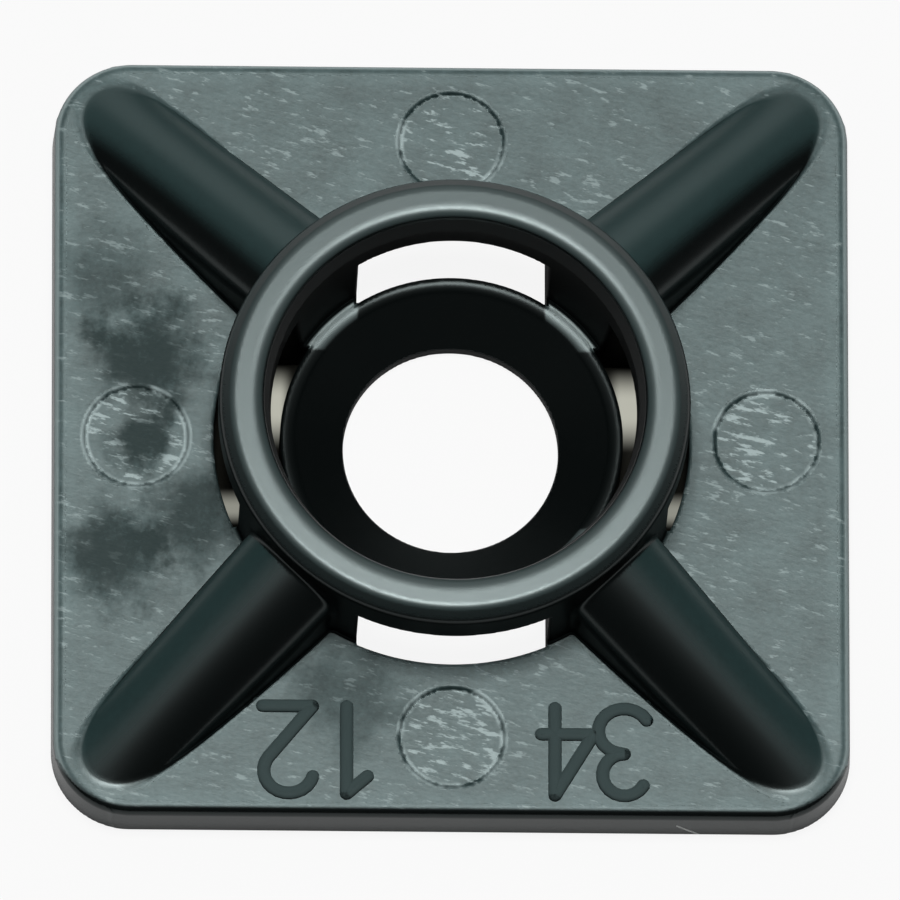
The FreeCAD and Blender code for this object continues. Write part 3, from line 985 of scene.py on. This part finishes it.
def nylon_material():
    """Black nylon: pale streaky skin on the base, smooth and darker on the ring and the legs, with
    painted light and shade.
    """
    material = bpy.data.materials.new("black_nylon")
    material.use_nodes = True
    tree = material.node_tree
    tree.nodes.clear()
    start = Wire(tree)
    at = read_surface(start)
    masks = finish_masks(at)
    pattern = skin_patterns(at)
    height = pattern.streak * RELIEF_STREAK + pattern.mottle + pattern.speckle * RELIEF_SPECKLE
    relief = start.node(
        "ShaderNodeBump",
        None,
        {"Strength": RELIEF_STRENGTH, "Distance": RELIEF_HEIGHT, "Height": height * masks.base},
    )
    glossy = start.node(
        "ShaderNodeBsdfPrincipled",
        None,
        {
            "Base Color": nylon_colour(at, masks, pattern),
            "Roughness": nylon_roughness(masks, pattern),
            "IOR": NYLON_IOR,
            "Specular Tint": SPECULAR_TINT,
            "Normal": relief,
        },
    )
    shaded_copy = start.node(
        "ShaderNodeBsdfPrincipled",
        None,
        {
            "Base Color": DEEP,
            "Roughness": SHADED_COPY_ROUGHNESS,
            "IOR": SHADED_COPY_IOR,
            "Specular Tint": SPECULAR_TINT,
        },
    )
    # Painted shade: steep faces and the rim at the openings take the darker copy that barely
    # reflects.
    surface = start.node("ShaderNodeMixShader", None, {0: masks.shaded_copy, 1: glossy, 2: shaded_copy})
    out = tree.nodes.new("ShaderNodeOutputMaterial")
    tree.links.new(surface.socket, out.inputs["Surface"])
    return material


nylon = nylon_material()
moulding = make_moulding(nylon)
numbers = run_tree(
    "cavity_numbers",
    stroke_tree(),
    {
        "half_width": STROKE_HALF_WIDTH,
        "height": STROKE_HEIGHT,
        "level": MOULDING["base_thickness"],
        "Material": nylon,
    },
    number_curve(),
)
numbers.data.set_sharp_from_angle(angle=SHARP_ANGLE)
for piece in (moulding, numbers):
    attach(piece, BODY)
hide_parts(NODE)

# The camera: its place about the mount in degrees, and the width of its frame in millimetres.
CAMERA_AZIMUTH = -4.88
CAMERA_ELEVATION = 70.5
CAMERA_ROLL = 5.12
CAMERA_LENS = 1600.0
CAMERA_SENSOR = 36.0
FRAME_WIDTH = 22.55
# How far above the origin the camera aims in its picture, and the level that it measures from.
AIM_ABOVE_ORIGIN = 0.15
AIM_LEVEL = 1.0
# Where the camera's sight starts and ends, as shares of its distance.
CLIP_SHARES = (0.5, 4.0)


def direction(azimuth, elevation):
    """The direction from the mount to a place at these angles in degrees."""
    turn = math.radians(azimuth)
    rise = math.radians(elevation)
    level = math.cos(rise)
    return Vector((math.sin(turn) * level, -math.cos(turn) * level, math.sin(rise)))


def make_camera():
    """A camera far away with a long lens, at the angle of the photograph."""
    back = direction(CAMERA_AZIMUTH, CAMERA_ELEVATION)
    roll = Matrix.Rotation(math.radians(CAMERA_ROLL), 3, "Z")
    turn = (-back).to_track_quat("-Z", "Y").to_matrix() @ roll
    lens = bpy.data.cameras.new("camera")
    lens.lens = CAMERA_LENS
    lens.sensor_width = CAMERA_SENSOR
    camera = bpy.data.objects.new("camera", lens)
    bpy.context.scene.collection.objects.link(camera)
    distance = FRAME_WIDTH * CAMERA_LENS / CAMERA_SENSOR + AIM_LEVEL
    aim = turn @ Vector((0.0, AIM_ABOVE_ORIGIN, 0.0))
    camera.matrix_world = Matrix.Translation((aim + back * distance) * MM) @ turn.to_4x4()
    lens.clip_start = distance * MM * CLIP_SHARES[0]
    lens.clip_end = distance * MM * CLIP_SHARES[1]
    bpy.context.scene.camera = camera


# The floor shows as the white background, and less so in reflections. It is dark where the mount
# shades it under the passages at the sides, but for soft gleams of light, the inner ones towards
# the north and the outer ones towards the south. In metres: how far the shade reaches, where it
# parts into inner and outer, and where each gleam starts, is full, and ends.
WHITE = (1.0, 1.0, 1.0, 1.0)
FLOOR_SIDE = 0.6
FLOOR_COLOUR = (0.4, 0.4, 0.4, 1.0)
BACKGROUND_SHARE = 0.9
REFLECTED_SHARE = 0.1
SHADE = (0.012, 0.012, 0.01, 1.0)
SHADED_REACH = (0.0035, 0.0073)
SHADED_HALF_WIDTH = 0.003
GLEAM_TINT = (1.0, 1.0, 0.86, 1.0)
GLEAM_DIVIDE = 0.005
INNER_GLEAM = 0.52
INNER_START = (0.0001, 0.0011)
INNER_END = (0.0024, 0.0015)
INNER_EDGE = (0.0039, 0.0043)
OUTER_GLEAM = 0.3
OUTER_START = (0.0009, 0.0014)
OUTER_END = (0.0019, 0.0015)
WORLD_LEVEL = 0.03


def shaded_strips(east, north):
    """Where the floor lies in the mount's shade under the passages at the sides."""
    beside = east.above(SHADED_REACH[0]) * (1.0 - east.above(SHADED_REACH[1]))
    return beside * (1.0 - abs(north).above(SHADED_HALF_WIDTH))


def side_gleams(east, north):
    """The soft gleams of light in those strips."""
    outer = east.above(GLEAM_DIVIDE)
    inner_run = smooth_step(north, *INNER_START) * smooth_step(north, *INNER_END)
    inner_side = smooth_step(east, *INNER_EDGE) * (1.0 - outer)
    outer_run = smooth_step(-north, *OUTER_START) * smooth_step(-north, *OUTER_END)
    return inner_run * inner_side * INNER_GLEAM + outer_run * outer * OUTER_GLEAM


def floor_material():
    """The floor's finish: plain and matt in light and shade, white as a background."""
    material = bpy.data.materials.new("white_floor")
    material.use_nodes = True
    tree = material.node_tree
    tree.nodes.clear()
    start = Wire(tree)
    metres = start.node("ShaderNodeTexCoord").other("Object")
    parts = start.node("ShaderNodeSeparateXYZ", None, {0: metres})
    east = abs(parts)
    north = parts.other("Y")
    shaded = shaded_strips(east, north)
    colour = mix_colour(shaded, FLOOR_COLOUR, SHADE)
    matt = start.node("ShaderNodeBsdfDiffuse", None, {"Color": colour})
    tint = mix_colour(shaded, WHITE, GLEAM_TINT)
    glow = start.node("ShaderNodeEmission", None, {"Color": tint, "Strength": 1.0})
    path = start.node("ShaderNodeLightPath")
    shown = path.other("Is Camera Ray")
    mirrored = path.other("Is Glossy Ray").most(path.other("Is Transmission Ray"))
    seen = shown * BACKGROUND_SHARE + mirrored * REFLECTED_SHARE
    share = seen * (1.0 + shaded * (side_gleams(east, north) - 1.0))
    surface = start.node("ShaderNodeMixShader", None, {0: share, 1: matt, 2: glow})
    out = tree.nodes.new("ShaderNodeOutputMaterial")
    tree.links.new(surface.socket, out.inputs["Surface"])
    return material


def make_floor():
    """A plain pale floor that shows as the white background and keeps a soft shadow."""
    half = FLOOR_SIDE / 2.0
    mesh = bpy.data.meshes.new("floor")
    corners = [(-half, -half, 0.0), (half, -half, 0.0), (half, half, 0.0), (-half, half, 0.0)]
    mesh.from_pydata(corners, [], [(0, 1, 2, 3)])
    mesh.materials.append(floor_material())
    floor = bpy.data.objects.new("floor", mesh)
    bpy.context.scene.collection.objects.link(floor)


def make_world():
    """A dim even surround that shows as white where the camera sees past the floor."""
    world = bpy.data.worlds.new("studio")
    bpy.context.scene.world = world
    world.use_nodes = True
    tree = world.node_tree
    tree.nodes.clear()
    start = Wire(tree)
    shown = start.node("ShaderNodeLightPath").other("Is Camera Ray")
    dim = start.node("ShaderNodeBackground", None, {"Color": WHITE, "Strength": WORLD_LEVEL})
    white = start.node("ShaderNodeBackground", None, {"Color": WHITE, "Strength": 1.0})
    surround = start.node("ShaderNodeMixShader", None, {0: shown, 1: dim, 2: white})
    out = tree.nodes.new("ShaderNodeOutputWorld")
    tree.links.new(surround.socket, out.inputs["Surface"])


# The softboxes: side and distance in metres, azimuth and elevation in degrees, and radiance.
SOFTBOXES = {
    "overhead": (0.073, 0.26, 180.0, 86.0, 48.0),
    "north_fill": (0.36, 0.42, 180.0, 42.0, 0.8),
    "east_fill": (0.2, 0.42, 90.0, 58.0, 0.35),
    "west_fill": (0.2, 0.42, -90.0, 58.0, 0.35),
}


def make_softbox(name, side, distance, azimuth, elevation, radiance):
    """A square softbox that faces the mount from a direction."""
    light = bpy.data.lights.new(name, "AREA")
    light.shape = "SQUARE"
    light.size = side
    light.energy = radiance * math.pi * side * side
    lamp = bpy.data.objects.new(name, light)
    bpy.context.scene.collection.objects.link(lamp)
    back = direction(azimuth, elevation)
    turn = (-back).to_track_quat("-Z", "Y").to_matrix().to_4x4()
    lamp.matrix_world = Matrix.Translation(back * distance) @ turn


make_camera()
make_floor()
make_world()
for name, setup in SOFTBOXES.items():
    make_softbox(name, *setup)

view = bpy.context.scene.view_settings
view.view_transform = "Standard"
